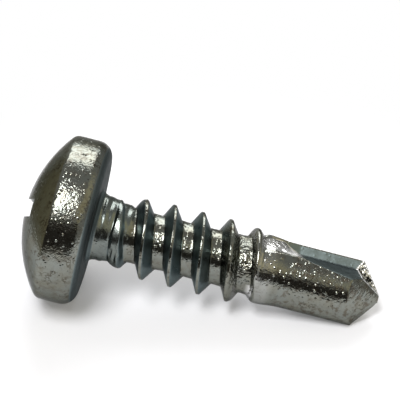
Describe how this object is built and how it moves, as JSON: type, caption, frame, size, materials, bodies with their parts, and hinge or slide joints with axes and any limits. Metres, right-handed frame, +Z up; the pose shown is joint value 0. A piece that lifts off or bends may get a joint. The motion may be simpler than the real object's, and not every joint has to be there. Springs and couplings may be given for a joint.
{
  "type": "self drilling screw",
  "caption": "Pan head self drilling screw with a cross recess, a right-hand tapping thread and a forged drill point with two flutes, lying on its side.",
  "frame": {"origin": "on the ground, under the centre of the bounding box of the screw as it lies", "axes": "+X along the screw as it lies, towards the drill point, +Z up. The screw's own axis lies in the XZ plane and drops 11.7 degrees towards the point"},
  "size_m": [0.0172, 0.008, 0.0081],
  "materials": {
    "zinc_plated_steel": "bright zinc plating over forged and rolled steel, fine grained, lightly rough"
  },
  "bodies": {
    "root": {"screw": "zinc_plated_steel"}
  },
  "joints": []
}
